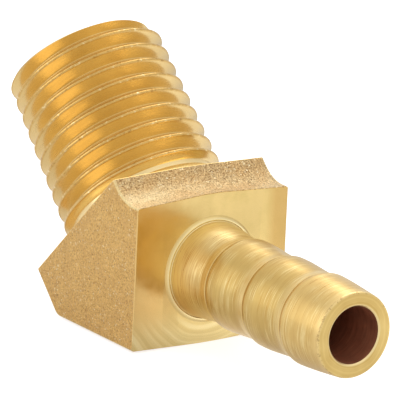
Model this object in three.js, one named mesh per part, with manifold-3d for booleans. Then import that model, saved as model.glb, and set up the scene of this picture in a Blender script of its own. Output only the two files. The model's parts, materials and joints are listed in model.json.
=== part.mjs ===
// A 45 degree brass hose barb elbow: a forged square body with a male taper pipe thread on one arm
// and a turned, barbed hose stem pressed into a socket in the other.
// Millimetres, +Z up. The barb points along +X and the thread rises at 45 degrees towards -X.
// The origin is on the body's bottom face, straight below the point where the two arms' axes cross.

import * as THREE from 'three';
import { mergeVertices } from 'three/addons/utils/BufferGeometryUtils.js';
import Module from 'manifold-3d';

const INCH = 25.4;

// Forged body
const BEND_ANGLE = 45;             // degrees that the fitting turns the flow through
const THREAD_SHOULDER = 0.38;      // from the thread's crest at its base to the square body's flat sides
const BARB_ARM_HEIGHT = 11.6;      // barb arm, measured at the flat sides
const BARB_ARM_TOP = 2.04;         // from the bend's inner corner to the machined front face
const THREAD_ARM_TOP = 2.1;        // from the bend's inner corner to the face that the thread starts at
const TOP_RISE = 0.4;              // how far the upper side swells towards the parting line
const BOTTOM_RISE = 0.2;           // how far the lower side swells towards the parting line
const PARTING_LAND = 1.6;          // width of the flat strip along the parting line
const EDGE_BREAK = 0.16;           // chamfer on the forged long edges
const VALLEY_FILLET = 3.4;         // radius in the inner corner of the bend
const HEEL_ROUND = 1;              // radius on the outer corner of the bend

// Taper pipe thread
const THREADS_PER_INCH = 18;
const THREAD_LENGTH = 14.3;        // from the thread face to the end of the thread
const THREAD_BASE_RADIUS = 6.77;   // crest radius at the thread face
const THREAD_TAPER = 1 / 32;       // radius lost per unit of length
const THREAD_DEPTH = 1.02;         // crest to root
const THREAD_ROOT_FLAT = 0.06;
const THREAD_FLANK_ANGLE = 30;     // degrees from a plane square to the axis
const THREAD_PHASE = 66.5;         // degrees round the axis where the groove leaves the thread face
const THREAD_ENTRY = 0.45;         // turns over which the groove comes in at the body
const ENTRY_SHARE = 0.66;          // share of the full depth that it has then
const FULL_CUT_START = 0.95;       // turns at which it starts to deepen again
const FULL_CUT_END = 1.4;          // turns at which it has its full depth
const THREAD_END_CHAMFER = 0.28;

// Waterway
const THREAD_BORE_RADIUS = 4;
const BORE_TO_SOCKET_WALL = 0.3;   // from the wide bore's end to the plane of the socket's floor
const DRILL_POINT_ANGLE = 118;     // degrees
const BORE_MOUTH_CHAMFER = 0.4;
const BARB_BORE_RADIUS = 2.3;

// Barb socket
const SOCKET_DEPTH = 5;
const SOCKET_CLEARANCE = 0.05;     // between the stem and the socket's wall
const LIP_HEIGHT = 0.2;            // raised lip round the socket's mouth
const LIP_WIDTH = 0.26;

// Hose barb
const STEM_RADIUS = 3.87;
const BARB_CREST_RADIUS = 3.75;
const BARB_VALLEY_RADIUS = 3.52;
const BARB_STEP_RADIUS = 3.6;      // where each barb's step begins
const FIRST_BARB = 4.4;            // from the front face to the first barb's step
const BARB_SPACING = 4.95;
const BARB_COUNT = 3;
const BARB_STEP_LENGTH = 0.5;      // from the step to the crest
const BARB_CREST_LENGTH = 0.9;     // the nearly level top of a barb
const BARB_NECK_LENGTH = 0.8;      // from the lowest point of a valley to the next step
const STEM_PLAIN_LENGTH = 1.3;     // straight stem in front of the body
const NOSE_LENGTH = 3.4;           // from the last barb's crest to the barb's end
const NOSE_RADIUS = 3.45;          // where the nose's taper ends
const NOSE_EDGE = 0.17;            // rounded edge at the barb's end

// Fineness of the model
const THREAD_FACETS = 36;          // flats per turn of the thread and of the wide bore
const BARB_FACETS = 48;            // flats round the barb and its socket
const ROUND_STEPS = 4;             // flats along each rounded corner of the forging
const OVERCUT = 1;                 // how far a cutting solid reaches past what it cuts
const HALF_OVERLAP = 1;            // how far each half of the forging reaches past the arms' axes

const wasm = await Module();
wasm.setup();

/** Where two lines meet, each given by its unit normal and its distance from the axes' crossing. */
function lineCrossing(normalA, distanceA, normalB, distanceB) {
  const determinant = normalA.x * normalB.y - normalA.y * normalB.x;
  return new THREE.Vector2(
    (distanceA * normalB.y - distanceB * normalA.y) / determinant,
    (normalA.x * distanceB - normalB.x * distanceA) / determinant,
  );
}

// Directions in the side view, where x is the barb's way and y is up
const bend = THREE.MathUtils.degToRad(BEND_ANGLE);
const barbWay = new THREE.Vector2(1, 0);
const barbUp = new THREE.Vector2(0, 1);
const threadWay = new THREE.Vector2(-Math.cos(bend), Math.sin(bend));
const threadUp = new THREE.Vector2(Math.sin(bend), Math.cos(bend));

// Sizes that follow from the ones above
const bodyWidth = 2 * (THREAD_BASE_RADIUS + THREAD_SHOULDER);
const threadHalf = bodyWidth / 2;
const barbHalf = BARB_ARM_HEIGHT / 2;
const axisHeight = barbHalf + BOTTOM_RISE;
const innerCorner = lineCrossing(barbUp, barbHalf, threadUp, threadHalf);
const frontFaceReach = innerCorner.dot(barbWay) + BARB_ARM_TOP;
const threadFaceReach = innerCorner.dot(threadWay) + THREAD_ARM_TOP;
const pitch = INCH / THREADS_PER_INCH;
const flankSlope = Math.tan(THREE.MathUtils.degToRad(THREAD_FLANK_ANGLE));
const socketRadius = STEM_RADIUS + SOCKET_CLEARANCE;
const socketFloor = frontFaceReach - SOCKET_DEPTH;
const threadBoreStop = (THREAD_BORE_RADIUS * Math.sin(bend) - socketFloor + BORE_TO_SOCKET_WALL)
  / Math.cos(bend);
const barbBoreEnd = -threadBoreStop * Math.cos(bend);

/** A closed three.js geometry as a manifold solid. */
function solidOf(geometry) {
  const merged = geometry.clone();
  merged.deleteAttribute('normal');
  merged.deleteAttribute('uv');
  const welded = mergeVertices(merged, 1e-5);
  return new wasm.Manifold(new wasm.Mesh({
    numProp: 3,
    vertProperties: new Float32Array(welded.attributes.position.array),
    triVerts: new Uint32Array(welded.index.array),
  }));
}

/** A manifold solid as a flat-shaded three.js geometry. */
function geometryOf(solid) {
  const mesh = solid.getMesh();
  const indexed = new THREE.BufferGeometry();
  indexed.setAttribute('position', new THREE.BufferAttribute(new Float32Array(mesh.vertProperties), 3));
  indexed.setIndex(new THREE.BufferAttribute(new Uint32Array(mesh.triVerts), 1));
  const flat = indexed.toNonIndexed();
  flat.computeVertexNormals();
  return flat;
}

/** A solid of revolution about +Z from [radius, height] pairs that start and end on the axis or close. */
function turned(outline, facets) {
  const points = outline.map(([radius, height]) => new THREE.Vector2(radius, height));
  return new THREE.LatheGeometry(points, facets).rotateX(Math.PI / 2);
}

/** Turn a geometry made along +Z so that it lies along the barb's axis, starting at the crossing. */
function alongBarb(geometry) {
  return geometry.rotateY(Math.PI / 2).translate(0, 0, axisHeight);
}

/** Turn a geometry made along +Z so that it lies along the thread's axis, starting at the crossing. */
function alongThread(geometry) {
  return geometry.rotateY(-bend).translate(0, 0, axisHeight);
}

/** A closed shape through the corners, each rounded to its own radius. */
function roundedShape(corners) {
  const shape = new THREE.Shape();
  corners.forEach(({ point, radius }, i) => {
    const before = corners.at(i - 1).point;
    const after = corners[(i + 1) % corners.length].point;
    const back = before.clone().sub(point).normalize();
    const onward = after.clone().sub(point).normalize();
    const setback = radius / Math.tan(back.angleTo(onward) / 2);
    const start = point.clone().addScaledVector(back, setback);
    const end = point.clone().addScaledVector(onward, setback);
    if (i === 0) {
      shape.moveTo(start.x, start.y);
    } else {
      shape.lineTo(start.x, start.y);
    }
    if (radius > 0) {
      shape.quadraticCurveTo(point.x, point.y, end.x, end.y);
    }
  });
  return shape;
}

/** The side outline of the elbow between two heights, with both arms run on past their ends. */
function elbowOutline(lower, upper) {
  const front = frontFaceReach + OVERCUT;
  const back = threadFaceReach + OVERCUT;
  return roundedShape([
    { point: lineCrossing(barbUp, lower.barb, barbWay, front), radius: 0 },
    { point: lineCrossing(barbUp, upper.barb, barbWay, front), radius: 0 },
    { point: lineCrossing(barbUp, upper.barb, threadUp, upper.thread), radius: upper.radius },
    { point: lineCrossing(threadWay, back, threadUp, upper.thread), radius: 0 },
    { point: lineCrossing(threadWay, back, threadUp, lower.thread), radius: 0 },
    { point: lineCrossing(barbUp, lower.barb, threadUp, lower.thread), radius: lower.radius },
  ]);
}

/** A side outline extruded across the body, its edges drawn in towards the two flat sides. */
function elbowPrism(outline, bevelThickness, bevelSize, bevelOffset) {
  const depth = bodyWidth - 2 * bevelThickness;
  const prism = new THREE.ExtrudeGeometry(outline, {
    depth,
    steps: 1,
    curveSegments: ROUND_STEPS,
    bevelEnabled: true,
    bevelSegments: 1,
    bevelThickness,
    bevelSize,
    bevelOffset,
  });
  return solidOf(prism.translate(0, 0, -depth / 2).rotateX(Math.PI / 2).translate(0, 0, axisHeight));
}

/** A large block whose one face squares off the end of an arm. */
function armStop(reach) {
  const size = 8 * bodyWidth;
  return new THREE.BoxGeometry(size, size, size).translate(0, 0, reach - size / 2);
}

/** One half of the forged block: it swells towards the parting line, and its long edges are broken. */
function forgedHalf(outline, rise) {
  const edge = rise + EDGE_BREAK;
  return elbowPrism(outline, (bodyWidth - PARTING_LAND) / 2, rise, 0)
    .intersect(elbowPrism(outline, edge, edge, -EDGE_BREAK));
}

/** The forged block from its upper and lower halves, with its two end faces machined square. */
function forgedBlock() {
  const top = { barb: barbHalf, thread: threadHalf, radius: VALLEY_FILLET };
  const bottom = { barb: -barbHalf, thread: -threadHalf, radius: HEEL_ROUND };
  const above = { barb: HALF_OVERLAP, thread: HALF_OVERLAP, radius: 0 };
  const below = { barb: -HALF_OVERLAP, thread: -HALF_OVERLAP, radius: 0 };
  return forgedHalf(elbowOutline(below, top), TOP_RISE)
    .add(forgedHalf(elbowOutline(bottom, above), BOTTOM_RISE))
    .intersect(solidOf(alongBarb(armStop(frontFaceReach))))
    .intersect(solidOf(alongThread(armStop(threadFaceReach))));
}

/** The thread's crest radius at a distance from the thread face. */
function crestRadius(distance) {
  return THREAD_BASE_RADIUS - THREAD_TAPER * distance;
}

/** Share of the full depth that the groove has at that many turns from the thread face. */
function depthShare(turns) {
  const entry = Math.min(1, turns / THREAD_ENTRY);
  const growth = (turns - FULL_CUT_START) / (FULL_CUT_END - FULL_CUT_START);
  return ENTRY_SHARE * entry + (1 - ENTRY_SHARE) * THREE.MathUtils.clamp(growth, 0, 1);
}

/** The path of the thread groove: a tapering helix whose frames stay axial and radial. */
class GroovePath extends THREE.Curve {
  constructor(turns) {
    super();
    this.turns = turns;
  }

  angle(t) {
    return THREE.MathUtils.degToRad(THREAD_PHASE) + 2 * Math.PI * this.turns * t;
  }

  getPoint(t, target = new THREE.Vector3()) {
    const distance = pitch * this.turns * t;
    const depth = THREAD_DEPTH * depthShare(this.turns * t);
    const radius = crestRadius(distance) + THREAD_DEPTH - depth;
    const angle = this.angle(t);
    return target.set(radius * Math.cos(angle), radius * Math.sin(angle), distance);
  }

  getPointAt(t, target) {
    return this.getPoint(t, target);
  }

  computeFrenetFrames(segments) {
    const frames = { tangents: [], normals: [], binormals: [] };
    for (let i = 0; i <= segments; i += 1) {
      const angle = this.angle(i / segments);
      frames.tangents.push(new THREE.Vector3(-Math.sin(angle), Math.cos(angle), 0));
      frames.normals.push(new THREE.Vector3(0, 0, 1));
      frames.binormals.push(new THREE.Vector3(Math.cos(angle), Math.sin(angle), 0));
    }
    return frames;
  }
}

/** The thread groove's solid: a 60 degree V with a flat root, swept along its helix. */
function threadGroove() {
  const overcut = THREAD_ROOT_FLAT / 2;
  const rootHalf = THREAD_ROOT_FLAT / 2;
  const mouthHalf = rootHalf + (THREAD_DEPTH + overcut) * flankSlope;
  const section = new THREE.Shape([
    new THREE.Vector2(-rootHalf, -THREAD_DEPTH),
    new THREE.Vector2(rootHalf, -THREAD_DEPTH),
    new THREE.Vector2(mouthHalf, overcut),
    new THREE.Vector2(-mouthHalf, overcut),
  ]);
  const turns = Math.ceil(THREAD_LENGTH / pitch) + 1;
  const steps = turns * THREAD_FACETS;
  return new THREE.ExtrudeGeometry(section, {
    steps, bevelEnabled: false, extrudePath: new GroovePath(turns),
  });
}

/** The threaded shank, with its root inside the forged block. */
function threadedShank() {
  const root = -THREAD_ARM_TOP;
  const chamferStart = THREAD_LENGTH - THREAD_END_CHAMFER;
  const blank = turned([
    [0, root],
    [crestRadius(root), root],
    [crestRadius(chamferStart), chamferStart],
    [crestRadius(chamferStart) - THREAD_END_CHAMFER, THREAD_LENGTH],
    [0, THREAD_LENGTH],
  ], THREAD_FACETS).rotateZ(THREE.MathUtils.degToRad(THREAD_PHASE));
  const faceStart = (geometry) => alongThread(geometry.translate(0, 0, threadFaceReach));
  return solidOf(faceStart(blank)).subtract(solidOf(faceStart(threadGroove())));
}

/** The wide bore under the thread, with its drill point and chamfered mouth. */
function threadBore() {
  const mouth = threadFaceReach + THREAD_LENGTH;
  const pointLength = THREAD_BORE_RADIUS / Math.tan(THREE.MathUtils.degToRad(DRILL_POINT_ANGLE / 2));
  return turned([
    [0, threadBoreStop - pointLength],
    [THREAD_BORE_RADIUS, threadBoreStop],
    [THREAD_BORE_RADIUS, mouth - BORE_MOUTH_CHAMFER],
    [THREAD_BORE_RADIUS + BORE_MOUTH_CHAMFER + OVERCUT, mouth + OVERCUT],
    [0, mouth + OVERCUT],
  ], THREAD_FACETS);
}

/** The barb's socket and the narrow bore from its floor to the wide bore. */
function barbSocket() {
  return turned([
    [0, barbBoreEnd],
    [BARB_BORE_RADIUS, barbBoreEnd],
    [BARB_BORE_RADIUS, socketFloor],
    [socketRadius, socketFloor],
    [socketRadius, frontFaceReach + LIP_HEIGHT + OVERCUT],
    [0, frontFaceReach + LIP_HEIGHT + OVERCUT],
  ], BARB_FACETS);
}

/** The small raised lip round the socket's mouth. */
function socketLip() {
  const lipFoot = frontFaceReach - LIP_HEIGHT;
  const slope = LIP_WIDTH / LIP_HEIGHT;
  return turned([
    [0, lipFoot],
    [socketRadius + 2 * LIP_HEIGHT * slope, lipFoot],
    [socketRadius, frontFaceReach + LIP_HEIGHT],
    [0, frontFaceReach + LIP_HEIGHT],
  ], BARB_FACETS);
}

/** The forged and threaded elbow body. */
function elbowBody() {
  return geometryOf(
    forgedBlock()
      .add(threadedShank())
      .add(solidOf(alongBarb(socketLip())))
      .subtract(solidOf(alongThread(threadBore())))
      .subtract(solidOf(alongBarb(barbSocket()))),
  );
}

/** The turned barb: a plain end for the socket, then barbs that step up and taper towards the tip. */
function hoseBarb() {
  const outline = [
    [BARB_BORE_RADIUS, socketFloor],
    [STEM_RADIUS, socketFloor],
    [STEM_RADIUS, frontFaceReach + STEM_PLAIN_LENGTH],
  ];
  for (let i = 0; i < BARB_COUNT; i += 1) {
    const step = frontFaceReach + FIRST_BARB + i * BARB_SPACING;
    const crest = step + BARB_STEP_LENGTH;
    outline.push(
      [BARB_VALLEY_RADIUS, step - BARB_NECK_LENGTH],
      [BARB_STEP_RADIUS, step],
      [BARB_CREST_RADIUS, crest],
      [BARB_CREST_RADIUS, crest + BARB_CREST_LENGTH],
    );
  }
  const tip = outline.at(-1)[1] + NOSE_LENGTH;
  outline.push(
    [NOSE_RADIUS, tip - NOSE_EDGE],
    [NOSE_RADIUS - NOSE_EDGE, tip],
    [BARB_BORE_RADIUS, tip],
    [BARB_BORE_RADIUS, socketFloor],
  );
  return alongBarb(turned(outline, BARB_FACETS));
}

/** A named mesh with its own brass finish. */
function brassMesh(name, geometry, color, roughness) {
  const material = new THREE.MeshStandardMaterial({ color, roughness, metalness: 1 });
  const mesh = new THREE.Mesh(geometry, material);
  mesh.name = name;
  return mesh;
}

const fitting = new THREE.Group();
fitting.add(
  brassMesh('elbow_body', elbowBody(), 0xcda568, 0.5),
  brassMesh('hose_barb', hoseBarb(), 0xd6b06c, 0.35),
);

export default fitting;
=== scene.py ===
"""A 45 degree brass hose barb elbow in a white studio.

Two pieces are shown: the forged and threaded elbow body, and the turned barb pressed into it.
Shapes are worked out in millimetres, in the frame of the CAD model, and scaled to metres.
"""

import json
import math

import bpy
import numpy as np
from mathutils import Matrix, Vector


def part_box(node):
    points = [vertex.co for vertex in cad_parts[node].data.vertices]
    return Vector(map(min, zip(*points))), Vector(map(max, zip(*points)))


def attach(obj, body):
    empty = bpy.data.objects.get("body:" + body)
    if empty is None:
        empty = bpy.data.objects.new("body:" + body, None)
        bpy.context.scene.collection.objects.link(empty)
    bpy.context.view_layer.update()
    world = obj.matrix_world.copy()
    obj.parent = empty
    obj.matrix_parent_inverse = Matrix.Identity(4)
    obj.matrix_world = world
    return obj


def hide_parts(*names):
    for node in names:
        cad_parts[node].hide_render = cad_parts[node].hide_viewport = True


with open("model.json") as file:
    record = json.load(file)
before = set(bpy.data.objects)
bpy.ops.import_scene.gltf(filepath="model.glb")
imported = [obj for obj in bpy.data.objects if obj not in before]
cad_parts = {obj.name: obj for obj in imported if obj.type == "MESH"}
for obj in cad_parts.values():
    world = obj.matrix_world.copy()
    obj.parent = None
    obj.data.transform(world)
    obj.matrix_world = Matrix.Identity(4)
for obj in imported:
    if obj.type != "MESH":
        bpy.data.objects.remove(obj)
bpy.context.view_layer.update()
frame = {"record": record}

MM = 0.001
BODY_BOX = [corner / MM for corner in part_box("elbow_body")]
BARB_BOX = [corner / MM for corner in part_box("hose_barb")]
MOUNTS = {mount["name"]: Vector(mount["pos_m"]) / MM for mount in frame["record"]["mounts"]}

# Places taken from the CAD model
AXIS_HEIGHT = (BARB_BOX[0].z + BARB_BOX[1].z) / 2
BODY_HALF = BODY_BOX[1].y
FRONT = MOUNTS["front_face"].x
TIP = MOUNTS["barb_end"].x
SOCKET_FLOOR = BARB_BOX[0].x
STEM_RADIUS = BARB_BOX[1].y
BEND = math.radians(45)

# Forging
TOP_RISE = 0.4                     # how far the upper side swells towards the parting line
BOTTOM_RISE = 0.2                  # how far the lower side swells towards the parting line
BARB_ARM_HALF = AXIS_HEIGHT - BOTTOM_RISE
THREAD_ARM_TOP = 2.1               # from the bend's inner corner to the face that the thread starts at
PARTING_LAND = 1.6                 # width of the level strip along the parting line
FORGED_ROUND = 0.2                 # rounding where the forged top and bottom meet the flat sides
MACHINED_ROUND = 0.07              # worn edge of the machined faces
VALLEY_RADIUS = 3.4
HEEL_RADIUS = 1.0

# Thread
PITCH = 25.4 / 18
THREAD_LENGTH = 14.3
THREAD_BASE_RADIUS = BODY_HALF - 0.38
THREAD_TAPER = 1 / 32
THREAD_DEPTH = 1.02
THREAD_ROOT_HALF = 0.03
THREAD_EDGE_ROUND = 0.03           # rounding of the crest's edges and of the root
THREAD_PHASE = math.radians(66.5)  # where the groove leaves the thread face
THREAD_FLANK = math.tan(math.radians(30))  # how fast the groove widens on each side
THREAD_ENTRY = 0.45                # turns over which the groove comes in at the body
ENTRY_SHARE = 0.66                 # share of the full depth that it has then
FULL_CUT_START = 0.95              # turns at which it starts to deepen again
FULL_CUT_END = 1.4                 # turns at which it has its full depth
RUN_OUT_CURVE = 1.2                # hollowness of the smooth run-out between the face and the groove
RUN_OUT_GROWS = (0.2, 0.25)        # turns from the face at which it begins to grow, and over how many
RUN_OUT_FADES = (1.2, 0.2)         # the same for its fading
THREAD_END_ROUND = 0.28
THREAD_BORE = 4.0
BORE_CHAMFER = 0.4
DRILL_POINT = math.radians(59)     # half the angle of the drill's point
WALL = 0.3                         # left between the wide bore's corner and the socket's floor

# Barb
BORE = 2.3
VALLEY = 3.54
STEP = 3.6
CREST = 3.74
FIRST_BARB = 4.4                   # from the front face to the first barb's step
BARB_SPACING = 4.95
BARBS = 3
STEP_LENGTH = 0.5
CREST_LENGTH = 0.6
NECK_LENGTH = 0.8
PLAIN_LENGTH = 0.5
STRAIGHT = 0.6                     # how straight the fall to a valley is, from 0 to 1
NECK_CURVE = 1.6                   # how late the neck rises to the next step
NOSE = 3.42
NOSE_CURVE = 1.3                   # how late the last barb falls to the nose
NOSE_ROUND = 0.17
TIP_CHAMFER = 0.09                 # at the mouth of the bore
LINE_WIDTH = 0.07                  # the scored line at the foot of each step
LINE_DEPTH = 0.035
LINE_EDGE = 0.004                  # how far the scored line's outer edge lies under the step
ROOT_SHEEN_AND_LINES = 4.2                   # how far from the front face the stem is brighter, a painted highlight, and its fine lathe lines denser

# Socket's lip
LIP_HEIGHT = 0.2
LIP_WIDTH = 0.3
LIP_FLAT = 0.05                    # level top of the lip
SEAM_WIDTH = 0.04                  # the small V between the lip and the stem's collar
SEAM_DEPTH = 0.09
SEAM_EDGE = 0.01                   # how far the V's outer corner lies under the lip's top
COLLAR = 0.08                      # how far the stem's rounded collar stands out at the lip
PRESS_GAP = 0.004                  # keeps the stem's surfaces off the body's
SOCKET_RADIUS = STEM_RADIUS + PRESS_GAP

# Fineness
THREAD_STEPS = 180                 # round one turn of the thread
BARB_STEPS = 192
ARC_STEPS = 8
RISE_STEPS = 16                    # from a flat side to the middle plane
FLANK_SHARES = (0, 0.12, 0.26, 0.4, 0.55, 0.7, 0.82, 0.9, 0.97, 1)  # rows on the groove's side
CREST_SHARES = (0.25, 0.6, 1)      # rows from the groove's edge to the middle of the crest
FALL_STEPS = 18                    # along the barb: the fall to a valley,
NECK_STEPS = 6                     # the neck up to the scored line,
CREST_STEPS = 8                    # the rise from a step to its crest,
NOSE_STEPS = 24                    # the last barb's fall to the nose,
BORE_STEPS = 11                    # and the bore
BODY_SHARP = 30                    # in degrees: faces that meet at more keep a sharp edge
BARB_SHARP = 24
EXTRA_TURNS = 2                    # turns made past each end of the thread, to be cut off
OVERCUT = 1                        # how far a cutting or joining shape runs past the face it works on


# ---------------------------------------------------------------- mesh helpers

def arc(radius, start, end, steps):
    """Points on an arc about the origin, from one angle to the other in radians."""
    angles = [start + (end - start) * i / steps for i in range(steps + 1)]
    return [(radius * math.cos(angle), radius * math.sin(angle)) for angle in angles]


def ease(t):
    """0 to 1 with a level start and end."""
    t = min(1.0, max(0.0, t))
    return t * t * (3 - 2 * t)


def shares(steps):
    """Even shares of a way, from the first step to the whole."""
    return np.linspace(0, 1, steps + 1)[1:]


def quarter_round(distance, radius):
    """How far a rounded edge stands back at a distance from the face next to it."""
    if distance >= radius:
        return 0.0
    return radius - math.sqrt(radius ** 2 - (radius - distance) ** 2)


def make_object(name, points, faces, finish, materials):
    """A mesh object from millimetre points, with one finish per face."""
    mesh = bpy.data.meshes.new(name)
    mesh.from_pydata([tuple(c * MM for c in point) for point in points], [], faces)
    for material in materials:
        mesh.materials.append(material)
    mesh.polygons.foreach_set("material_index", finish)
    mesh.update()
    piece = bpy.data.objects.new(name, mesh)
    bpy.context.scene.collection.objects.link(piece)
    return piece


def turned(name, outline, steps, materials, place):
    """A solid of revolution about +Z from (radius, height, finish) triples, then placed by a matrix.

    A triple's finish is that of the strip from it to the next. The outline starts and ends on the
    axis, or closes on itself.
    """
    points, rings = [], []
    for radius, height, _ in outline:
        if radius == 0:
            rings.append([len(points)] * steps)
            points.append((0, 0, height))
            continue
        rings.append(range(len(points), len(points) + steps))
        for i in range(steps):
            angle = 2 * math.pi * i / steps
            points.append((radius * math.cos(angle), radius * math.sin(angle), height))
    closed = outline[0][0] > 0
    pairs = list(zip(range(len(rings)), range(1, len(rings))))
    if closed:
        pairs.append((len(rings) - 1, 0))
    faces, finish = [], []
    for a, b in pairs:
        for i in range(steps):
            j = (i + 1) % steps
            corners = [rings[a][i], rings[a][j], rings[b][j], rings[b][i]]
            face = list(dict.fromkeys(corners))
            if len(face) > 2:
                faces.append(face)
                finish.append(outline[a][2])
    placed = [place @ Vector(point) for point in points]
    return make_object(name, placed, faces, finish, materials)


def combine(piece, other, operation):
    """Join other to piece, cut it away or keep what both fill. The other object is used up."""
    step = piece.modifiers.new(operation, "BOOLEAN")
    step.operation = operation
    step.solver = "MANIFOLD"
    step.object = other
    graph = bpy.context.evaluated_depsgraph_get()
    made = bpy.data.meshes.new_from_object(piece.evaluated_get(graph), depsgraph=graph)
    piece.modifiers.clear()
    old = piece.data
    piece.data = made
    made.name = piece.name
    bpy.data.meshes.remove(old)
    bpy.data.objects.remove(other)
    return piece


def shade(piece, angle):
    """Smooth shading, broken where faces meet at more than the angle in degrees."""
    piece.data.shade_smooth()
    piece.data.set_sharp_from_angle(angle=math.radians(angle))


# ---------------------------------------------------------------- places

CROSSING = Vector((0, 0, AXIS_HEIGHT))
ALONG_BARB = Matrix.Translation(CROSSING) @ Matrix.Rotation(math.pi / 2, 4, "Y")
ALONG_THREAD = Matrix.Translation(CROSSING) @ Matrix.Rotation(-BEND, 4, "Y")


def crossing(angle_a, distance_a, angle_b, distance_b):
    """Where two lines of the side view meet, each given by its normal's angle and its distance."""
    ax, az = math.cos(angle_a), math.sin(angle_a)
    bx, bz = math.cos(angle_b), math.sin(angle_b)
    det = ax * bz - az * bx
    return (distance_a * bz - distance_b * az) / det, (ax * distance_b - bx * distance_a) / det


FACING_FRONT = 0.0
FACING_UP = math.pi / 2
FACING_THREAD = math.pi - BEND
THREAD_UP = math.pi / 2 - BEND
INNER_CORNER = crossing(FACING_UP, BARB_ARM_HALF, THREAD_UP, BODY_HALF)
THREAD_FACE = (
    INNER_CORNER[0] * math.cos(FACING_THREAD) + INNER_CORNER[1] * math.sin(FACING_THREAD)
    + THREAD_ARM_TOP
)


# ---------------------------------------------------------------- elbow body

FORGED, MACHINED, THREADED, BORED = range(4)


def rise(y, highest):
    """How far a forged side stands out at a distance y from the middle plane."""
    from_land = (abs(y) - PARTING_LAND / 2) / (BODY_HALF - PARTING_LAND / 2)
    swell = highest * (1 - max(0.0, from_land))
    return swell - quarter_round(BODY_HALF - abs(y), FORGED_ROUND)


def turned_in_view(centre, radius, start, end):
    """Points of an arc in the side view round a centre."""
    return [(centre[0] + x, centre[1] + z) for x, z in arc(radius, start, end, ARC_STEPS)]


def elbow_outline(up, down, machined):
    """The side view's outline as (x, z, finish), with each kind of line moved out by its distance."""
    front = FRONT + machined
    thread_face = THREAD_FACE + machined

    def edge(angle_a, distance_a, angle_b, distance_b):
        centre = crossing(angle_a, distance_a - MACHINED_ROUND, angle_b, distance_b - MACHINED_ROUND)
        return turned_in_view(centre, MACHINED_ROUND, angle_a, angle_b)

    valley = crossing(FACING_UP, BARB_ARM_HALF + VALLEY_RADIUS, THREAD_UP, BODY_HALF + VALLEY_RADIUS)
    heel = crossing(FACING_UP, HEEL_RADIUS - BARB_ARM_HALF, THREAD_UP, HEEL_RADIUS - BODY_HALF)
    stretches = [
        (edge(-FACING_UP, BARB_ARM_HALF + down, FACING_FRONT, front), MACHINED),
        (edge(FACING_FRONT, front, FACING_UP, BARB_ARM_HALF + up), FORGED),
        (turned_in_view(valley, up - VALLEY_RADIUS, FACING_UP, THREAD_UP), FORGED),
        (edge(THREAD_UP, BODY_HALF + up, FACING_THREAD, thread_face), MACHINED),
        (edge(FACING_THREAD, thread_face, THREAD_UP + math.pi, BODY_HALF + down), FORGED),
        (turned_in_view(heel, HEEL_RADIUS + down, THREAD_UP + math.pi, FACING_UP + math.pi), FORGED),
    ]
    return [(x, z, finish) for points, finish in stretches for x, z in points]


def forged_block(materials):
    """The elbow's block: its side view carried from one flat side to the other."""
    insets = [FORGED_ROUND - x for x, _ in arc(FORGED_ROUND, 0, math.pi / 2, ARC_STEPS)]
    insets += list(np.linspace(FORGED_ROUND, BODY_HALF, RISE_STEPS + 1)[1:])
    levels = [inset - BODY_HALF for inset in insets]
    levels += [-y for y in levels[-2::-1]]
    points, faces, finish = [], [], []
    for y in levels:
        set_back = quarter_round(BODY_HALF - abs(y), MACHINED_ROUND)
        outline = elbow_outline(rise(y, TOP_RISE), rise(y, BOTTOM_RISE), -set_back)
        points += [(x, y, z + AXIS_HEIGHT) for x, z, _ in outline]
    count = len(outline)
    for level in range(len(levels) - 1):
        for i in range(count):
            j = (i + 1) % count
            a, b = level * count, (level + 1) * count
            faces.append((a + i, b + i, b + j, a + j))
            finish.append(outline[i][2])
    faces.append(tuple(range(count)))
    faces.append(tuple(range(len(points) - 1, len(points) - count - 1, -1)))
    finish += [FORGED, FORGED]
    return make_object("block", points, faces, finish, materials)


def soft_over(value, softness):
    """The value where it is above 0, else 0, with a rounded corner."""
    return (value + math.hypot(value, softness)) / 2


def groove_rows():
    """Axial offsets from the groove's middle to the crest's middle, closest at the corners."""
    mouth = THREAD_ROOT_HALF + THREAD_DEPTH * THREAD_FLANK
    flank = [THREAD_ROOT_HALF + (mouth - THREAD_ROOT_HALF) * t for t in FLANK_SHARES]
    crest = [mouth + (PITCH / 2 - mouth) * t for t in CREST_SHARES]
    return [0, THREAD_ROOT_HALF / 2] + flank + crest


def groove_limit(turns):
    """How deep the groove may be at that many turns from the thread face."""
    entry = min(1.0, max(0.0, turns / THREAD_ENTRY))
    growth = min(1.0, max(0.0, (turns - FULL_CUT_START) / (FULL_CUT_END - FULL_CUT_START)))
    return THREAD_DEPTH * (ENTRY_SHARE * entry + (1 - ENTRY_SHARE) * growth)


def run_out(distance, turns):
    """Depth of the smooth run-out between the thread face and the groove that lies turns away."""
    root = turns * PITCH
    (grows, growing), (fades, fading) = RUN_OUT_GROWS, RUN_OUT_FADES
    share = ease((turns - grows) / growing) * (1 - ease((turns - fades) / fading))
    if share == 0 or not 0 < distance < root:
        return 0.0
    return share * groove_limit(turns) * (distance / root) ** RUN_OUT_CURVE


def groove_depth(offset, turns):
    """Depth under the crest at an axial offset from the groove's middle, turns from the face."""
    from_root = soft_over(abs(offset) - THREAD_ROOT_HALF, THREAD_EDGE_ROUND)
    depth = soft_over(THREAD_DEPTH - from_root / THREAD_FLANK, THREAD_EDGE_ROUND)
    depth -= soft_over(depth - groove_limit(turns), THREAD_EDGE_ROUND)
    return max(depth, run_out(turns * PITCH + offset, turns if offset < 0 else turns + 1))


def crest_radius(distance):
    """The thread's crest radius at a distance from the thread face."""
    return THREAD_BASE_RADIUS - THREAD_TAPER * distance


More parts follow.
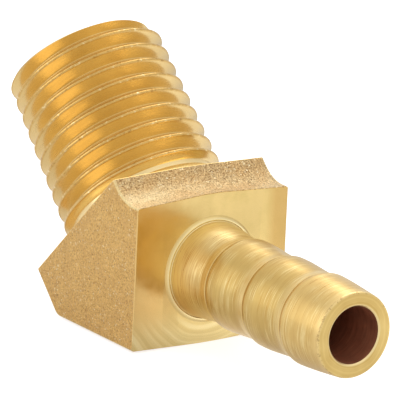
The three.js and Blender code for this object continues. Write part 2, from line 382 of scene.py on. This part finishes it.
def threaded_shank(materials):
    """The shank with its helical groove, from inside the block to past the end, then squared off."""
    before, after = EXTRA_TURNS, math.ceil(THREAD_LENGTH / PITCH) + EXTRA_TURNS
    rows = groove_rows()
    offsets = [-row for row in rows[::-1]] + rows[1:-1]
    points, sections = [], []
    for k in range(-before * THREAD_STEPS, after * THREAD_STEPS + 1):
        turns = k / THREAD_STEPS
        angle = THREAD_PHASE + 2 * math.pi * turns
        sections.append(range(len(points), len(points) + len(offsets)))
        for offset in offsets:
            distance = turns * PITCH + offset
            radius = crest_radius(distance) - groove_depth(offset, turns)
            points.append((radius * math.cos(angle), radius * math.sin(angle), distance))
    faces = []
    for k in range(len(sections) - 1 - THREAD_STEPS):
        here = list(sections[k]) + [sections[k + THREAD_STEPS][0]]
        there = list(sections[k + 1]) + [sections[k + 1 + THREAD_STEPS][0]]
        for row in range(len(here) - 1):
            faces.append((here[row], there[row], there[row + 1], here[row + 1]))
    for first in (0, len(sections) - 1 - THREAD_STEPS):
        ramp = [sections[k][0] for k in range(first, first + THREAD_STEPS + 1)]
        wall = list(sections[first])[:0:-1]
        loop = ramp + wall if first else (ramp + wall)[::-1]
        axis_point = len(points)
        points.append((0, 0, points[loop[0]][2]))
        for i, corner in enumerate(loop):
            faces.append((axis_point, corner, loop[(i + 1) % len(loop)]))
    used = sorted({corner for face in faces for corner in face})
    number = {old: new for new, old in enumerate(used)}
    faces = [tuple(number[corner] for corner in face) for face in faces]
    place = ALONG_THREAD @ Matrix.Translation((0, 0, THREAD_FACE))
    placed = [place @ Vector(points[i]) for i in used]
    shank = make_object("shank", placed, faces, [THREADED] * len(faces), materials)
    rim = crest_radius(THREAD_LENGTH - THREAD_END_ROUND)
    clear = 2                      # the envelope's cone slopes by 1 in 1, so both ways by the same
    envelope = [
        (0, -THREAD_ARM_TOP, MACHINED),
        (rim + clear, -THREAD_ARM_TOP, MACHINED),
        (rim + clear, THREAD_LENGTH - THREAD_END_ROUND - clear, MACHINED),
        (rim - THREAD_END_ROUND, THREAD_LENGTH, MACHINED),
        (0, THREAD_LENGTH, MACHINED),
    ]
    return combine(shank, turned("envelope", envelope, THREAD_STEPS, materials, place), "INTERSECT")


def elbow_body(materials):
    """The forged and threaded body, bored through, with the barb's socket and its lip."""
    body = combine(forged_block(materials), threaded_shank(materials), "UNION")
    recess = SOCKET_RADIUS + COLLAR
    crown = recess + SEAM_WIDTH + LIP_FLAT
    foot = crown + LIP_WIDTH
    lip = [(0, FRONT - OVERCUT, MACHINED), (foot, FRONT - OVERCUT, MACHINED)]
    for i in range(ARC_STEPS + 1):
        t = i / ARC_STEPS
        lip.append((foot - LIP_WIDTH * t, FRONT + LIP_HEIGHT * ease(t), MACHINED))
    lip += [
        (crown - LIP_FLAT, FRONT + LIP_HEIGHT - SEAM_EDGE, MACHINED),
        (recess, FRONT + LIP_HEIGHT - SEAM_DEPTH, MACHINED),
        (0, FRONT + LIP_HEIGHT - SEAM_DEPTH, MACHINED),
    ]
    body = combine(body, turned("lip", lip, BARB_STEPS, materials, ALONG_BARB), "UNION")
    stop = (THREAD_BORE * math.sin(BEND) - SOCKET_FLOOR + WALL) / math.cos(BEND)
    mouth = THREAD_FACE + THREAD_LENGTH
    bore = [
        (0, stop - THREAD_BORE / math.tan(DRILL_POINT), BORED),
        (THREAD_BORE, stop, BORED),
        (THREAD_BORE, mouth - BORE_CHAMFER, MACHINED),
        (THREAD_BORE + BORE_CHAMFER + OVERCUT, mouth + OVERCUT, MACHINED),
        (0, mouth + OVERCUT, MACHINED),
    ]
    body = combine(body, turned("bore", bore, BARB_STEPS, materials, ALONG_THREAD), "DIFFERENCE")
    socket = [
        (0, -stop * math.cos(BEND), BORED),
        (BORE, -stop * math.cos(BEND), BORED),
        (BORE, SOCKET_FLOOR, BORED),
        (SOCKET_RADIUS, SOCKET_FLOOR, BORED),
        (SOCKET_RADIUS, FRONT + OVERCUT, BORED),
        (0, FRONT + OVERCUT, BORED),
    ]
    body = combine(body, turned("socket", socket, BARB_STEPS, materials, ALONG_BARB), "DIFFERENCE")
    body.name = body.data.name = "forged_elbow"
    shade(body, BODY_SHARP)
    return body


# ---------------------------------------------------------------- barb

TURNED, BARB_BORED = range(2)


def barb_stations():
    """The barb's outer profile as (distance, radius) from the body to the nose."""
    seat = FRONT + LIP_HEIGHT - SEAM_DEPTH + PRESS_GAP
    stations = [(seat, STEM_RADIUS)]
    for x, z in arc(COLLAR, -math.pi / 6, math.pi / 2, ARC_STEPS):
        stations.append((seat + COLLAR / 2 + z, STEM_RADIUS + x))
    radius_before, level_end = STEM_RADIUS, FRONT + PLAIN_LENGTH
    stations.append((level_end, STEM_RADIUS))
    for i in range(BARBS):
        step = FRONT + FIRST_BARB + i * BARB_SPACING
        valley = step - NECK_LENGTH
        for t in shares(FALL_STEPS):
            fall = (1 - STRAIGHT) * ease(t) + STRAIGHT * t
            radius = radius_before + (VALLEY - radius_before) * fall
            stations.append((level_end + (valley - level_end) * t, radius))
        for t in shares(NECK_STEPS)[:-1]:
            radius = VALLEY + (STEP - VALLEY) * t ** NECK_CURVE
            stations.append((valley + (NECK_LENGTH - LINE_WIDTH) * t, radius))
        stations += [
            (step - LINE_WIDTH, STEP - LINE_EDGE),
            (step - LINE_WIDTH / 2, STEP - LINE_DEPTH),
            (step, STEP),
        ]
        for t in shares(CREST_STEPS):
            radius = STEP + (CREST - STEP) * math.sin(math.pi / 2 * t)
            stations.append((step + STEP_LENGTH * t, radius))
        radius_before, level_end = CREST, step + STEP_LENGTH + CREST_LENGTH
    last_crest = level_end - CREST_LENGTH
    nose_end = TIP - NOSE_ROUND
    for t in shares(NOSE_STEPS):
        radius = CREST + (NOSE - CREST) * t ** NOSE_CURVE
        stations.append((last_crest + (nose_end - last_crest) * t, radius))
    return stations


def hose_barb(materials):
    """The turned barb, bored through, with rounded edges at its tip."""
    outline = [(BORE, SOCKET_FLOOR, TURNED), (STEM_RADIUS, SOCKET_FLOOR, TURNED)]
    outline += [(radius, distance, TURNED) for distance, radius in barb_stations()]
    for x, z in arc(NOSE_ROUND, 0, math.pi / 2, ARC_STEPS)[1:]:
        outline.append((NOSE - NOSE_ROUND + x, TIP - NOSE_ROUND + z, TURNED))
    bore_end = TIP - TIP_CHAMFER
    outline += [(BORE + TIP_CHAMFER, TIP, TURNED), (BORE, bore_end, BARB_BORED)]
    for distance in np.linspace(bore_end, SOCKET_FLOOR, BORE_STEPS + 1)[1:-1]:
        outline.append((BORE, distance, BARB_BORED))
    barb = turned("hose_barb_turned", outline, BARB_STEPS, materials, ALONG_BARB)
    shade(barb, BARB_SHARP)
    return barb


# ---------------------------------------------------------------- node wiring

def colour(red, green, blue):
    """A linear colour with alpha from sRGB values up to 255."""
    def linear(value):
        value /= 255
        return value / 12.92 if value <= 0.04045 else ((value + 0.055) / 1.055) ** 2.4
    return (linear(red), linear(green), linear(blue), 1)


class Wiring:
    """Short ways to wire a node tree. Wherever a value is asked for, another node's socket will do."""

    def __init__(self, tree):
        self.tree = tree

    def set(self, socket, value):
        """Give an input a value, or link it to another node's socket."""
        if isinstance(value, bpy.types.NodeSocket):
            self.tree.links.new(value, socket)
        else:
            socket.default_value = value

    def add(self, kind, inputs, **settings):
        """A node with its settings and its inputs, which are given by name or number."""
        node = self.tree.nodes.new(kind)
        for key, value in settings.items():
            setattr(node, key, value)
        for key, value in inputs.items():
            self.set(node.inputs[key], value)
        return node

    def coordinates(self, kind):
        """One of the texture coordinates: Object, Normal or Generated."""
        return self.add("ShaderNodeTexCoord", {}).outputs[kind]

    def parts(self, vector):
        """A vector's three coordinates."""
        return tuple(self.add("ShaderNodeSeparateXYZ", {0: vector}).outputs)

    def moved(self, vector, origin, turn):
        """A place measured from an origin and turned by three angles, in millimetres from metres."""
        from_origin = self.add("ShaderNodeVectorMath", {0: vector, 1: origin}, operation="SUBTRACT")
        inputs = {"Vector": from_origin.outputs[0], "Rotation": turn, "Scale": (1 / MM, 1 / MM, 1 / MM)}
        return self.add("ShaderNodeMapping", inputs).outputs[0]

    def maths(self, operation, a, b=0.0):
        """One sum on two values."""
        return self.add("ShaderNodeMath", {0: a, 1: b}, operation=operation).outputs[0]

    def plus(self, a, b):
        """The sum of two values."""
        return self.maths("ADD", a, b)

    def times(self, a, b):
        """The product of two values."""
        return self.maths("MULTIPLY", a, b)

    def levels(self, value, low, high, out_low=0.0, out_high=1.0):
        """The value taken from one range to another, held inside it. Low may be above high."""
        inputs = {"Value": value, 1: low, 2: high, 3: out_low, 4: out_high}
        return self.add("ShaderNodeMapRange", inputs).outputs[0]

    def ramp(self, value, low, high, stops, interpolation="LINEAR"):
        """Levels along a value's range, from stops given as (value, level)."""
        node = self.add("ShaderNodeValToRGB", {0: self.levels(value, low, high)})
        node.color_ramp.interpolation = interpolation
        elements = node.color_ramp.elements
        while len(elements) < len(stops):
            elements.new(0.5)
        for element, (place, level) in zip(elements, stops):
            element.position = (place - low) / (high - low)
            element.color = (level, level, level, 1)
        return node.outputs["Color"]

    def by_ray(self, shown, mirrored, otherwise):
        """A value for camera rays, one for glossy and transmission rays, and one for all others."""
        path = self.add("ShaderNodeLightPath", {}).outputs
        bounced = self.maths("MAXIMUM", path["Is Glossy Ray"], path["Is Transmission Ray"])
        value = self.levels(bounced, 0, 1, otherwise, mirrored)
        return self.levels(path["Is Camera Ray"], 0, 1, value, shown)


# ---------------------------------------------------------------- finishes

class Finish(Wiring):
    """A brass surface: a node material, with short ways to wire its pattern."""

    def __init__(self, name, roughness, metallic=1):
        self.material = bpy.data.materials.new(name)
        self.material.use_nodes = True
        super().__init__(self.material.node_tree)
        self.surface = self.tree.nodes["Principled BSDF"]
        self.wire(Base_Color=colour(232, 205, 135), Roughness=roughness, Metallic=metallic)

    def wire(self, **sockets):
        """Set or link the surface's inputs, named with underscores for spaces."""
        for key, value in sockets.items():
            self.set(self.surface.inputs[key.replace("_", " ")], value)

    def place(self, turn=0.0, stretch=(1, 1, 1)):
        """Coordinates in millimetres from the crossing of the axes, turned about Y, then stretched."""
        here = self.moved(self.coordinates("Object"), (0, 0, AXIS_HEIGHT * MM), (0, turn, 0))
        return self.add("ShaderNodeVectorMath", {0: here, 1: stretch}, operation="MULTIPLY").outputs[0]

    def facing(self):
        """The three parts of the direction that the surface faces."""
        return self.parts(self.coordinates("Normal"))

    def off_axis(self, a, b):
        """The distance from an axis, from the two coordinates across it."""
        across = self.add("ShaderNodeCombineXYZ", {0: a, 1: b}).outputs[0]
        return self.add("ShaderNodeVectorMath", {0: across}, operation="LENGTH").outputs["Value"]

    def noise(self, vector, scale, detail=2.0, roughness=0.5):
        """Soft noise between 0 and 1."""
        inputs = {"Vector": vector, "Scale": scale, "Detail": detail, "Roughness": roughness}
        return self.add("ShaderNodeTexNoise", inputs).outputs["Fac"]

    def rings(self, radius, scale, detail):
        """Soft noise that changes with a radius only."""
        inputs = {"W": radius, "Scale": scale, "Detail": detail}
        return self.add("ShaderNodeTexNoise", inputs, noise_dimensions="1D").outputs["Fac"]

    def cells(self, vector, scale, output="Distance"):
        """Voronoi cells: the distance to a cell's point, or the cell's random colour."""
        return self.add("ShaderNodeTexVoronoi", {"Vector": vector, "Scale": scale}).outputs[output]

    def mix(self, factor, a, b):
        """Colour b over colour a, each a socket or (red, green, blue) in sRGB."""
        a, b = (colour(*value) if isinstance(value, tuple) else value for value in (a, b))
        return self.add("ShaderNodeMix", {0: factor, 6: a, 7: b}, data_type="RGBA").outputs[2]

    def layers(self, tone, *layers):
        """Colours laid over a tone one after the other, each given as (mask, strength, colour)."""
        for mask, strength, top in layers:
            tone = self.mix(self.times(mask, strength), tone, top)
        return tone

    def bump(self, height, distance, strength):
        """A bump of a height in millimetres."""
        inputs = {"Height": height, "Distance": distance * MM, "Strength": strength}
        return self.add("ShaderNodeBump", inputs).outputs[0]


def forged_brass():
    """Shot-blasted forging: fine pits, painted glints, dark specks, edges rubbed bright with a painted
    highlight, and tones by facing that are painted light and shade.
    """
    finish = Finish("forged_brass", roughness=0.45)
    here = finish.place()
    sideways = finish.parts(here)[1]
    faces_out, faces_side, faces_up = finish.facing()
    grain = finish.noise(here, 7.5, 3, 0.7)

    # The dark and pale grain of the flat sides, of the hollow inner bend, and of its slope to the thread,
    # with tones set by which way a face looks: the hollow's paler tone is a painted highlight and the
    # slope's darker tone is painted shade
    side = finish.mix(finish.levels(grain, 0.32, 0.68), (188, 140, 71), (244, 203, 128))
    hollow = finish.mix(finish.levels(grain, 0.36, 0.6), (136, 106, 60), (236, 208, 156))
    # the hollow brightens towards -Y: painted highlight
    hollow = finish.layers(hollow, (finish.levels(sideways, 1, -6), 0.45, (248, 228, 180)))
    slope = finish.mix(finish.levels(grain, 0.36, 0.64), (136, 100, 56), (222, 192, 140))
    above = finish.mix(finish.levels(faces_out, 0.3, 0.62), hollow, slope)
    tone = finish.mix(finish.levels(faces_up, 0.35, 0.65), side, above)

    patches = finish.levels(finish.noise(here, 0.6, 3), 0.4, 0.65)
    specks = finish.levels(finish.cells(here, 8.0, "Color"), 0.12, 0)
    # painted glints: pale specks standing in for facets that catch the lamps
    painted_glints = finish.levels(finish.cells(here, 9.0, "Color"), 0.83, 0.97)
    near_side = finish.levels(finish.maths("ABSOLUTE", sideways), BODY_HALF - 0.24, BODY_HALF - 0.1)
    off_side = finish.levels(finish.maths("ABSOLUTE", faces_side), 0.99, 0.93)
    tone = finish.layers(
        tone,
        (patches, 0.3, (205, 160, 98)),
        (specks, 0.7, (128, 80, 28)),
        (painted_glints, 0.7, (255, 244, 206)),
        (finish.times(near_side, off_side), 0.6, (248, 226, 168)),     # edges rubbed bright, and partly a painted highlight on their rounding
    )
    height = finish.plus(finish.times(grain, 1.6), finish.cells(here, 6.5))
    finish.wire(
        Base_Color=tone,
        Roughness=finish.levels(grain, 0.3, 0.7, 0.24, 0.42),
        Normal=finish.bump(height, 0.05, 1.0),
    )
    return finish.material


def machined_brass():
    """The faced front: fine rings round the barb's axis, stains, swirls low down, a painted reflection
    warmer towards -Y and greyer low down, and a painted highlight on the lip.
    """
    finish = Finish("machined_brass", roughness=0.22)
    here = finish.place()
    _, sideways, upward = finish.parts(here)
    radius = finish.off_axis(sideways, upward)
    wobble = finish.times(finish.noise(here, 0.25, 1), 0.8)
    rings = finish.rings(finish.plus(radius, wobble), 5.0, 3.0)
    swirls = finish.rings(finish.plus(radius, finish.times(wobble, 1.2)), 1.5, 2.0)
    low = finish.levels(upward, -3.2, -4.6)
    lip_foot = SOCKET_RADIUS + COLLAR + SEAM_WIDTH + LIP_FLAT + LIP_WIDTH
    stain = finish.levels(finish.noise(here, 0.4, 3, 0.6), 0.4, 0.7)
    tone = finish.layers(
        finish.mix(stain, (224, 195, 129), (213, 186, 118)),
        (finish.levels(sideways, -2, -5.5), 0.6, (240, 198, 130)),     # warmer towards -Y, a painted reflection
        (finish.levels(sideways, 5.1, 6.0), 0.45, (190, 142, 70)),     # and darker at the +Y edge
        (finish.levels(upward, -2.5, -5), 0.6, (216, 198, 142)),       # greyer low down, a painted reflection of the table
        (finish.times(low, finish.levels(swirls, 0.45, 0.65)), 0.4, (248, 232, 182)),
        (finish.times(low, finish.levels(swirls, 0.48, 0.32)), 0.2, (186, 156, 92)),
        # the paler lip is a painted highlight
        (finish.levels(radius, lip_foot - 0.1, lip_foot - 0.24), 0.55, (255, 238, 184)),
    )
    finish.wire(
        Base_Color=tone,
        Roughness=finish.levels(finish.noise(here, 1.2, 2), 0.3, 0.7, 0.16, 0.26),
        Normal=finish.bump(rings, 0.003, 0.5),
    )
    return finish.material


def threaded_brass():
    """The cut thread: bright, with fine lines along the groove, and chips and dents on its crest. The
    crest is darker, painted shade, and the thread is paler where it leaves the body, a painted highlight.
    """
    finish = Finish("threaded_brass", roughness=0.16)
    here = finish.place()
    across_a, across_b, along = finish.parts(finish.place(BEND))
    lines = finish.noise(finish.place(BEND, (0.3, 0.3, 14)), 1.0, 2)
    stain = finish.levels(finish.noise(here, 0.35, 2), 0.35, 0.7)
    nicks = finish.noise(here, 2.6, 3, 0.75)
    untapered = finish.plus(finish.off_axis(across_a, across_b), finish.times(along, THREAD_TAPER))
    crest = THREAD_BASE_RADIUS + THREAD_TAPER * THREAD_FACE
    on_crest = finish.levels(untapered, crest - 0.14, crest - 0.03)
    tone = finish.layers(
        finish.mix(stain, (234, 203, 138), (227, 195, 130)),
        # the darker crest is painted shade
        (on_crest, 1, (212, 172, 100)),
        (finish.times(on_crest, finish.levels(nicks, 0.57, 0.68)), 0.7, (255, 236, 186)),   # chips
        (finish.times(on_crest, finish.levels(nicks, 0.43, 0.33)), 0.6, (150, 104, 48)),    # dents
        # paler where the thread leaves the body: a painted highlight
        (finish.levels(along, THREAD_FACE + 1.9, THREAD_FACE + 0.3), 0.7, (252, 232, 182)),
    )
    finish.wire(
        Base_Color=tone,
        Roughness=finish.levels(lines, 0.3, 0.7, 0.17, 0.28),
        Normal=finish.bump(lines, 0.004, 0.5),
    )
    return finish.material


def turned_brass():
    """The satin turned barb: lathe lines round its axis, some stretches coarser than others, with painted
    highlights at the root, the necks and the bore's edge, and painted shade under the root.
    """
    finish = Finish("turned_brass", roughness=0.28)
    round_axis = finish.add("ShaderNodeTangent", {}, direction_type="RADIAL", axis="X").outputs[0]
    here = finish.place()
    along, sideways, upward = finish.parts(here)
    radius = finish.off_axis(sideways, upward)
    faces_out = finish.facing()[0]
    off_tip = finish.levels(faces_out, 0.9, 0.6)

    # Lathe lines: fine ones in some stretches and near the root, and wide faint ones everywhere
    fine = finish.noise(finish.place(stretch=(13, 0.4, 0.4)), 1.0, 3, 0.65)
    coarse = finish.noise(finish.place(stretch=(2.5, 0.1, 0.1)), 1.0, 2)
    some = finish.levels(finish.noise(finish.place(stretch=(0.9, 0.5, 0.5)), 1.0, 1), 0.42, 0.6)
    at_root = finish.levels(along, FRONT + ROOT_SHEEN_AND_LINES, FRONT + 3, 0, 0.8)
    stretches = finish.maths("MAXIMUM", some, at_root)
    lines = finish.plus(finish.times(fine, stretches), finish.times(coarse, 0.15))
    scores = finish.times(finish.levels(fine, 0.44, 0.36), off_tip)
    streaks = finish.times(finish.times(finish.levels(fine, 0.52, 0.6), stretches), off_tip)
    streaks = finish.times(streaks, finish.levels(along, FRONT + 5.5, FRONT + 3, 0.45, 0.85))

    # The necks before each step, paler as a painted highlight, the last barb, and the amber underside of
    # the root, darker as painted shade
    from_step = finish.maths("SUBTRACT", along, FRONT + FIRST_BARB - BARB_SPACING)
    share = finish.maths("FRACT", finish.maths("DIVIDE", from_step, BARB_SPACING))
    last_step = FRONT + FIRST_BARB + (BARBS - 1) * BARB_SPACING
    # the darker underside of the root is painted shade
    painted_shade_under_root = finish.times(
        finish.levels(upward, -0.6, -2.6), finish.levels(along, FRONT + 3.4, FRONT + 1.2)
    )
    tone = finish.layers(
        finish.mix(finish.levels(coarse, 0.3, 0.7), (205, 171, 101), (215, 183, 112)),
        # paler near the front face: a painted highlight
        (finish.levels(along, FRONT + ROOT_SHEEN_AND_LINES, FRONT + 0.5), 0.9, (255, 236, 182)),
        (finish.levels(share, 0.78, 0.95), 0.55, (248, 222, 158)),
        (finish.levels(along, last_step - 0.2, last_step + 0.2), 0.33, (240, 204, 136)),
        (scores, 0.45, (186, 134, 62)),
        (streaks, 1, (255, 238, 180)),
        (painted_shade_under_root, 0.55, (196, 146, 78)),
    )

    # The tip: turned rings on its face, a paler rim with small marks, and a painted highlight on the edge
    # at the bore
    wear = finish.noise(here, 0.5, 2)
    tip_rings = finish.rings(finish.plus(radius, finish.times(wear, 0.5)), 3.0, 2.0)
    mottled = finish.plus(finish.times(tip_rings, 0.6), finish.times(wear, 0.4))
    tip = finish.mix(finish.levels(mottled, 0.36, 0.64), (208, 174, 102), (232, 202, 130))
    mouth = finish.times(
        finish.levels(along, TIP - 0.3, TIP - 0.1), finish.levels(radius, BORE + 0.2, BORE + 0.1)
    )
    rim = finish.times(
        finish.levels(along, TIP - 0.3, TIP - 0.12), finish.levels(radius, NOSE - 0.22, NOSE - 0.08)
    )
    marks = finish.times(rim, finish.levels(finish.noise(here, 3.2, 3, 0.7), 0.52, 0.64))
    tone = finish.layers(
        tone,
        (finish.levels(faces_out, 0.8, 0.95), 1, tip),
        (mouth, 0.4, (255, 238, 186)),
        (rim, 0.4, (240, 212, 146)),
        (marks, 0.5, (150, 108, 52)),
    )
    finish.wire(
        Base_Color=tone,
        Roughness=finish.levels(fine, 0.3, 0.7, 0.27, 0.36),
        Anisotropic=0.25,
        Anisotropic_Rotation=0.25,
        Tangent=round_axis,
        Normal=finish.bump(lines, 0.005, 0.6),
    )
    return finish.material


def bore_brass():
    """The dark inside of the waterway; its dark brown is painted shade for the deep bore."""
    finish = Finish("bore_brass", roughness=0.45, metallic=0.35)
    lines = finish.noise(finish.place(stretch=(6, 0.6, 0.6)), 1.0, 2)
    clouds = finish.levels(finish.noise(finish.place(), 0.5, 2), 0.4, 0.65)
    tone = finish.mix(finish.levels(lines, 0.3, 0.7), (165, 100, 72), (190, 124, 92))
    tone = finish.layers(tone, (clouds, 0.4, (130, 74, 54)))
    finish.wire(Base_Color=tone, Normal=finish.bump(lines, 0.01, 0.5))
    return finish.material


# ---------------------------------------------------------------- studio

LAMPS_AIM = Vector((4, 0, 10)) * MM

# The camera, fitted to the photograph: azimuth and elevation, roll, distance in millimetres, lens, and
# how far the middle of the view lies to the right of the axes' crossing and above it
VIEW_ANGLES = (54.544, 16.433)
VIEW_ROLL = math.radians(2.57)
VIEW_DISTANCE = 497.3
VIEW_LENS = 567
VIEW_RIGHT = 2.792
VIEW_UP = 3.749

# How bright the surroundings look in the metal, by the angle from overhead towards -Y in degrees
SURROUNDINGS = (
    (-180, 0.9), (-100, 0.95), (-63, 0.85), (-33, 1.05), (0, 1.05), (27, 0.88), (48, 0.9), (95, 0.9)
)

# The brighter patch of the table in the metal: its share along the line out from the front's right, and
# across that line, in millimetres from the front face
PATCH_TURN = math.radians(35)
PATCH_ALONG = ((-6, 0), (3, 1), (18, 1), (45, 0.6))
PATCH_ACROSS = ((-6.5, 0), (-1.5, 1), (4.3, 1), (5.4, 0.35))

# The table: its reach and grey, and its own light, in order: for the camera, in the metal, in the metal
# behind the thread (past these distances in metres towards -X and +Y), and in the patch on top of that
TABLE_HALF = 1.5
TABLE_GREY = 0.55
TABLE_SHOWN = 0.75
TABLE_MIRRORED = 0.3
TABLE_BEHIND = 0.0
BEHIND_X, BEHIND_Y = -0.015, 0.012
PATCH_EXTRA = 0.5


def direction(azimuth, elevation):
    """A unit vector: azimuth 0 is towards -Y and 90 towards +X, elevation is above the horizon."""
    a, e = math.radians(azimuth), math.radians(elevation)
    return Vector((math.sin(a) * math.cos(e), -math.cos(a) * math.cos(e), math.sin(e)))


def photographers_camera():
    """The camera that sees the object as the photograph does."""
    back = direction(*VIEW_ANGLES)
    level = Vector((0, 0, 1)).cross(back).normalized()
    upright = back.cross(level)
    right = level * math.cos(VIEW_ROLL) + upright * math.sin(VIEW_ROLL)
    up = upright * math.cos(VIEW_ROLL) - level * math.sin(VIEW_ROLL)
    data = bpy.data.cameras.new("camera")
    data.sensor_width = 36
    data.lens = VIEW_LENS
    data.clip_start = 0.01
    data.clip_end = 10
    camera = bpy.data.objects.new("camera", data)
    bpy.context.scene.collection.objects.link(camera)
    place = (CROSSING + right * VIEW_RIGHT + up * VIEW_UP + back * VIEW_DISTANCE) * MM
    axes = Matrix((right, up, back)).transposed().to_4x4()
    camera.matrix_world = Matrix.Translation(place) @ axes
    bpy.context.scene.camera = camera


def softbox(name, azimuth, elevation, distance, width, height, brightness):
    """A soft rectangular light aimed at the object, in metres. Brightness 1 mirrors as white."""
    light = bpy.data.lights.new(name, "AREA")
    light.shape = "RECTANGLE"
    light.size = width
    light.size_y = height
    light.energy = brightness * math.pi * width * height
    lamp = bpy.data.objects.new(name, light)
    toward = direction(azimuth, elevation)
    lamp.location = LAMPS_AIM + toward * distance
    lamp.rotation_mode = "QUATERNION"
    lamp.rotation_quaternion = toward.to_track_quat("Z", "Y")
    lamp.visible_camera = False
    bpy.context.scene.collection.objects.link(lamp)


def white_surroundings():
    """A world that shows white, mirrors nearly white and lights the object at level 1."""
    world = bpy.data.worlds.new("studio")
    bpy.context.scene.world = world
    world.use_nodes = True
    wiring = Wiring(world.node_tree)
    background = wiring.tree.nodes["Background"]
    _, y, z = wiring.parts(wiring.coordinates("Generated"))
    angle = wiring.maths("ARCTAN2", wiring.times(y, -1), z)
    stops = [(math.radians(degrees), level) for degrees, level in SURROUNDINGS]
    mirrored = wiring.ramp(angle, -math.pi, math.pi, stops, "EASE")
    wiring.set(background.inputs["Color"], (1, 1, 1, 1))
    wiring.set(background.inputs["Strength"], wiring.by_ray(1.0, mirrored, 1.0))


def table_in_metal(wiring):
    """The table's own light in mirrors: less behind the thread, more where the machined front sees it."""
    place = wiring.coordinates("Object")
    along, across, _ = wiring.parts(wiring.moved(place, (FRONT * MM, 0, 0), (0, 0, -PATCH_TURN)))
    bands = [
        wiring.ramp(value, stops[0][0], stops[-1][0], stops)
        for value, stops in ((along, PATCH_ALONG), (across, PATCH_ACROSS))
    ]
    patch = wiring.times(wiring.times(*bands), PATCH_EXTRA)
    x, y, _ = wiring.parts(place)
    behind = wiring.times(wiring.levels(x, 0, BEHIND_X), wiring.levels(y, 0, BEHIND_Y))
    return wiring.plus(patch, wiring.levels(behind, 0, 1, TABLE_MIRRORED, TABLE_BEHIND))


def pale_table():
    """A white table under the object, which keeps its shadow."""
    mesh = bpy.data.meshes.new("floor")
    corners = [(x * TABLE_HALF, y * TABLE_HALF, 0) for x, y in ((-1, -1), (1, -1), (1, 1), (-1, 1))]
    mesh.from_pydata(corners, [], [(0, 1, 2, 3)])
    material = bpy.data.materials.new("white_table")
    material.use_nodes = True
    wiring = Wiring(material.node_tree)
    surface = wiring.tree.nodes["Principled BSDF"]
    for key, value in (
        ("Base Color", (TABLE_GREY, TABLE_GREY, TABLE_GREY, 1)),
        ("Roughness", 0.9),
        ("Specular IOR Level", 0),
        ("Emission Color", (1, 1, 1, 1)),
        ("Emission Strength", wiring.by_ray(TABLE_SHOWN, table_in_metal(wiring), 0.0)),
    ):
        wiring.set(surface.inputs[key], value)
    mesh.materials.append(material)
    floor = bpy.data.objects.new("floor", mesh)
    bpy.context.scene.collection.objects.link(floor)


# ---------------------------------------------------------------- scene

photographers_camera()

bore = bore_brass()
turned_finish = turned_brass()
elbow = elbow_body([forged_brass(), machined_brass(), threaded_brass(), bore])
barb = hose_barb([turned_finish, bore])

for piece, node, slot in ((elbow, "elbow_body", "forged_brass"), (barb, "hose_barb", "turned_brass")):
    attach(piece, "root")
    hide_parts(node)

white_surroundings()
pale_table()
softbox("key", azimuth=-145, elevation=56, distance=0.5, width=0.34, height=0.34, brightness=1.9)
softbox("side", azimuth=-26, elevation=23, distance=0.6, width=0.3, height=0.48, brightness=0.85)

bpy.context.scene.view_settings.view_transform = "Standard"
